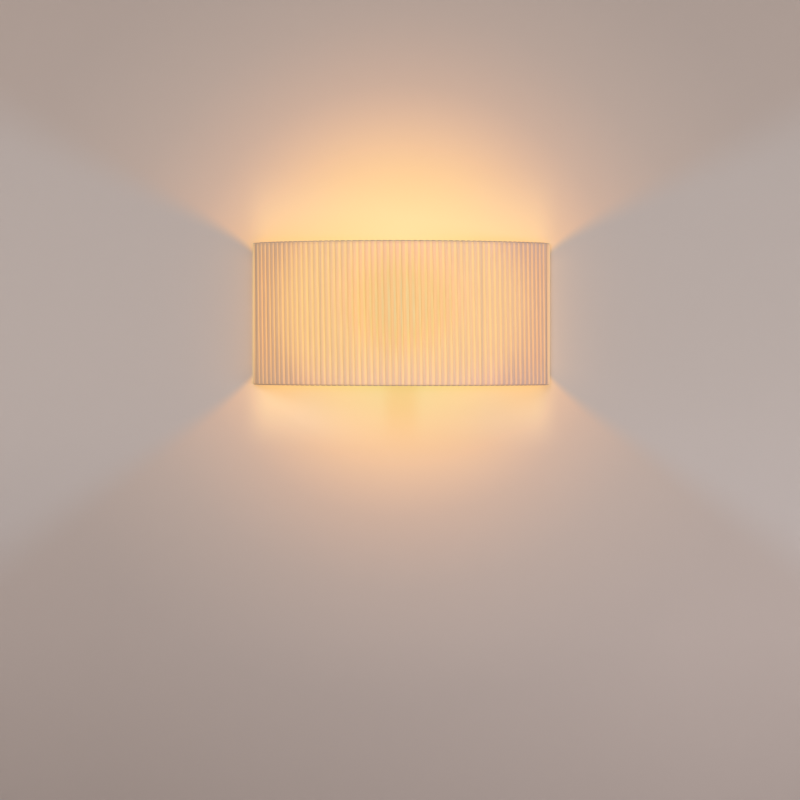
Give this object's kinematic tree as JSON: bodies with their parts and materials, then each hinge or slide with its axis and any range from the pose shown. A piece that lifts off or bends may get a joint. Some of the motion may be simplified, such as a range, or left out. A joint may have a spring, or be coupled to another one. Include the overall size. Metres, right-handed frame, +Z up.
{
  "type": "wall light",
  "caption": "Wall light with a bowed shade of lapped raw ribbon wound on a wire frame, lit from an upright bulb on a small canopy behind it.",
  "frame": {"origin": "middle of the mounting plate's back face, on the wall, level with the middle of the shade", "axes": "+Z up, +X to the right as seen from the room, -Y out from the wall into the room"},
  "size_m": [0.37, 0.1, 0.177],
  "materials": {
    "ribbon": "matt raw cotton ribbon, light passes through",
    "frame_wire": "white powder coat",
    "frame_bar": "white powder coat",
    "zinc_steel": "bright zinc plate",
    "white_steel": "white powder coat",
    "nickel": "satin nickel plate",
    "rubber": "matt",
    "block_plastic": "natural nylon",
    "brass": "plain turned brass",
    "holder_plastic": "white moulded thermoset",
    "ceramic": "glazed steatite",
    "opal_glass": "opal white, lit warm",
    "cap_metal": "nickel plated",
    "black_glass": "black glass",
    "solder": "dull solder",
    "clear_glass": "clear",
    "filament": "lit",
    "brown_lead": "brown insulation",
    "blue_lead": "blue insulation",
    "green_lead": "green and yellow insulation"
  },
  "bodies": {
    "wall_fitting": {"mounting_plate": "zinc_steel", "canopy": "white_steel", "canopy_studs": "zinc_steel", "canopy_washers": "nickel", "cap_nuts": "nickel", "cable_grommet": "rubber", "lead_bush": "rubber", "terminal_block": "block_plastic", "terminal_inserts": "brass", "terminal_screws": "zinc_steel", "block_screws": "zinc_steel", "earth_screw": "brass", "earth_ring": "nickel", "shade_hook_left": "white_steel", "shade_hook_right": "white_steel", "hook_rivets": "nickel", "holder_bracket": "white_steel", "bracket_rivets": "nickel", "nipple": "brass", "nipple_washer": "zinc_steel", "nipple_nut": "zinc_steel", "holder_base": "holder_plastic", "holder_skirt": "holder_plastic", "holder_core": "ceramic", "holder_posts": "brass", "centre_contact": "brass", "thread_sleeve": "nickel", "live_lead": "brown_lead", "neutral_lead": "blue_lead", "earth_lead": "green_lead"},
    "shade": {"ribbon_cover": "ribbon", "top_wire": "frame_wire", "bottom_wire": "frame_wire", "end_upright_left": "frame_wire", "end_upright_right": "frame_wire", "front_upright_left": "frame_wire", "front_upright_right": "frame_wire", "front_upright_middle": "frame_wire", "shade_rail": "frame_bar"},
    "bulb_contact": {"cap_contact": "solder"},
    "bulb": {"bulb_glass": "opal_glass", "bulb_cap": "cap_metal", "cap_insulator": "black_glass", "bulb_stem": "clear_glass", "bulb_filament": "filament"}
  },
  "joints": [
    {"name": "shade_lift", "type": "slide", "parent": "wall_fitting", "child": "shade", "axis": [0, 0, 1], "range_m": [0, 0.012]},
    {"name": "bulb_rise", "type": "slide", "parent": "wall_fitting", "child": "bulb_contact", "axis": [0, 0, 1], "range_m": [0, 0.01633]},
    {"name": "bulb_turn", "type": "hinge", "parent": "bulb_contact", "child": "bulb", "pos_m": [0, -0.05, 0.008], "axis": [0, 0, 1], "range_deg": [0, 1620]}
  ],
  "couplings": [
    {"joint": "bulb_turn", "follows": "bulb_rise", "rad_per_m": 1730.9}
  ]
}
